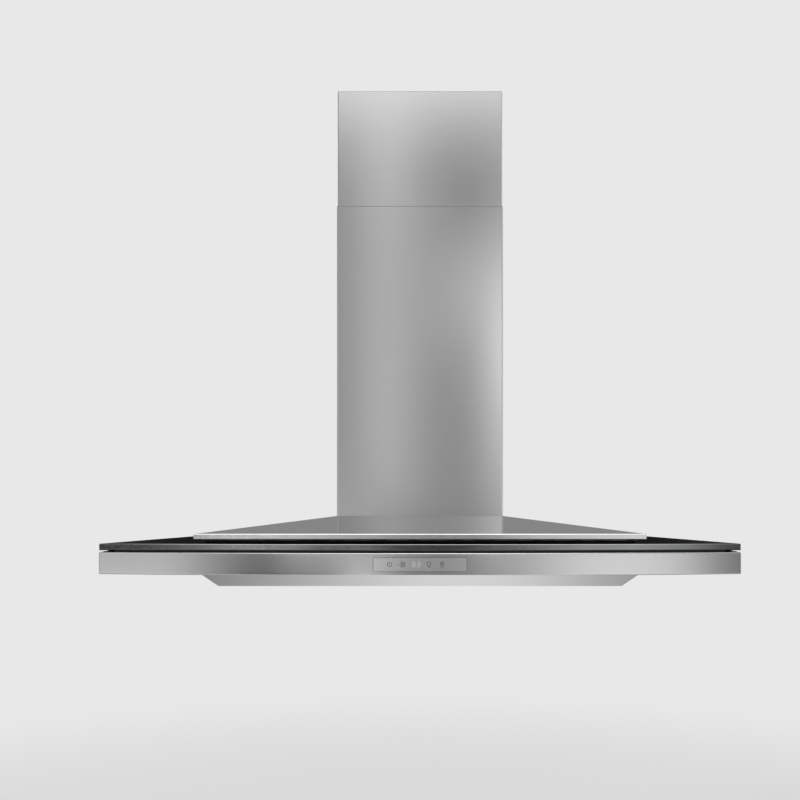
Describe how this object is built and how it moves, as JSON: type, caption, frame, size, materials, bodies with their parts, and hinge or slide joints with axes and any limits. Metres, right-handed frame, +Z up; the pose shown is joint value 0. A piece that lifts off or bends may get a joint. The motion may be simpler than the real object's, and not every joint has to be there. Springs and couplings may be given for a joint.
{
  "type": "range hood",
  "caption": "Wall-mounted chimney range hood: telescoping steel cover, bowed black glass canopy, touch control, baffle filters, centrifugal blower with duct damper.",
  "frame": {"origin": "centre of the four wall fixings, on the wall face of the back panel", "axes": "+X along the wall, to the right of someone who faces the hood; +Y into the wall; +Z up"},
  "size_m": [0.9, 0.538, 0.8245],
  "materials": {
    "brushed_steel": "brushed along its length, satin",
    "galvanised_steel": "hot-dip galvanised sheet",
    "black_glass": "tempered, polished, black",
    "touch_glass": "semi-gloss touch window, silver-grey tint",
    "rubber": "moulded, matt",
    "black_plastic": "moulded, fine grain",
    "grey_plastic": "moulded",
    "white_plastic": "moulded",
    "circuit_board": "solder mask",
    "conductive_foam": "carbon-filled foam",
    "dark_display": "smoked",
    "enamelled_steel": "black enamel",
    "bright_steel": "bright zinc",
    "spring_steel": "spring temper",
    "chrome": "polished",
    "opal_lens": "frosted",
    "lamp_aluminium": "die-cast"
  },
  "bodies": {
    "hood": {"adaptor_screws": "bright_steel", "back_panel": "brushed_steel", "ball_bearings": "bright_steel", "blower_box": "galvanised_steel", "blower_screws": "bright_steel", "cable_gland": "black_plastic", "canopy_band": "brushed_steel", "canopy_cover": "brushed_steel", "capacitor_clip": "galvanised_steel", "chimney_screws": "bright_steel", "control_board": "circuit_board", "control_housing": "black_plastic", "damper_pin": "bright_steel", "filter_clips": "spring_steel", "glass_canopy": "black_glass", "glass_end_clips": "black_plastic", "glass_gasket": "rubber", "glass_seal": "rubber", "inlet_guard": "galvanised_steel", "inner_frame": "galvanised_steel", "lamp_bezels": "chrome", "lamp_bodies": "lamp_aluminium", "lamp_driver": "grey_plastic", "lamp_lenses": "opal_lens", "level_display": "dark_display", "lower_chimney": "brushed_steel", "lower_tray": "brushed_steel", "motor_bracket": "galvanised_steel", "motor_can": "enamelled_steel", "outlet_adaptor": "black_plastic", "run_capacitor": "white_plastic", "scroll_side_left": "galvanised_steel", "scroll_side_right": "galvanised_steel", "scroll_wrap": "galvanised_steel", "terminal_box": "grey_plastic", "terminal_cover": "grey_plastic", "touch_fascia": "touch_glass", "touch_pads": "conductive_foam", "tray_screws": "bright_steel", "underside_panel": "brushed_steel"},
    "upper_chimney": {"upper_chimney": "brushed_steel", "ceiling_bracket": "galvanised_steel", "bracket_screws": "bright_steel"},
    "blower_wheel": {"motor_shaft": "bright_steel", "impeller": "galvanised_steel", "impeller_nut": "bright_steel"},
    "damper_front": {"damper_flap_front": "black_plastic"},
    "damper_rear": {"damper_flap_rear": "black_plastic"},
    "filter_left": {"filter_frame_left": "brushed_steel", "filter_baffles_left": "brushed_steel", "filter_pull_left": "brushed_steel"},
    "filter_right": {"filter_frame_right": "brushed_steel", "filter_baffles_right": "brushed_steel", "filter_pull_right": "brushed_steel"}
  },
  "joints": [
    {"name": "upper_chimney_slide", "type": "slide", "parent": "hood", "child": "upper_chimney", "axis": [0, 0, 1], "range_m": [-0.145, 0.27]},
    {"name": "impeller_spin", "type": "hinge", "parent": "hood", "child": "blower_wheel", "pos_m": [0, -0.112, -0.0139], "axis": [1, 0, 0], "continuous": true},
    {"name": "damper_front_hinge", "type": "hinge", "parent": "hood", "child": "damper_front", "pos_m": [0, -0.15, 0.1831], "axis": [-1, 0, 0], "range_deg": [0, 70]},
    {"name": "damper_rear_hinge", "type": "hinge", "parent": "hood", "child": "damper_rear", "pos_m": [0, -0.15, 0.1831], "axis": [1, 0, 0], "range_deg": [0, 70]},
    {"name": "filter_left_hinge", "type": "hinge", "parent": "hood", "child": "filter_left", "pos_m": [-0.14, -0.0715, -0.2295], "axis": [1, 0, 0], "range_deg": [0, 50]},
    {"name": "filter_right_hinge", "type": "hinge", "parent": "hood", "child": "filter_right", "pos_m": [0.14, -0.0715, -0.2295], "axis": [1, 0, 0], "range_deg": [0, 50]}
  ]
}
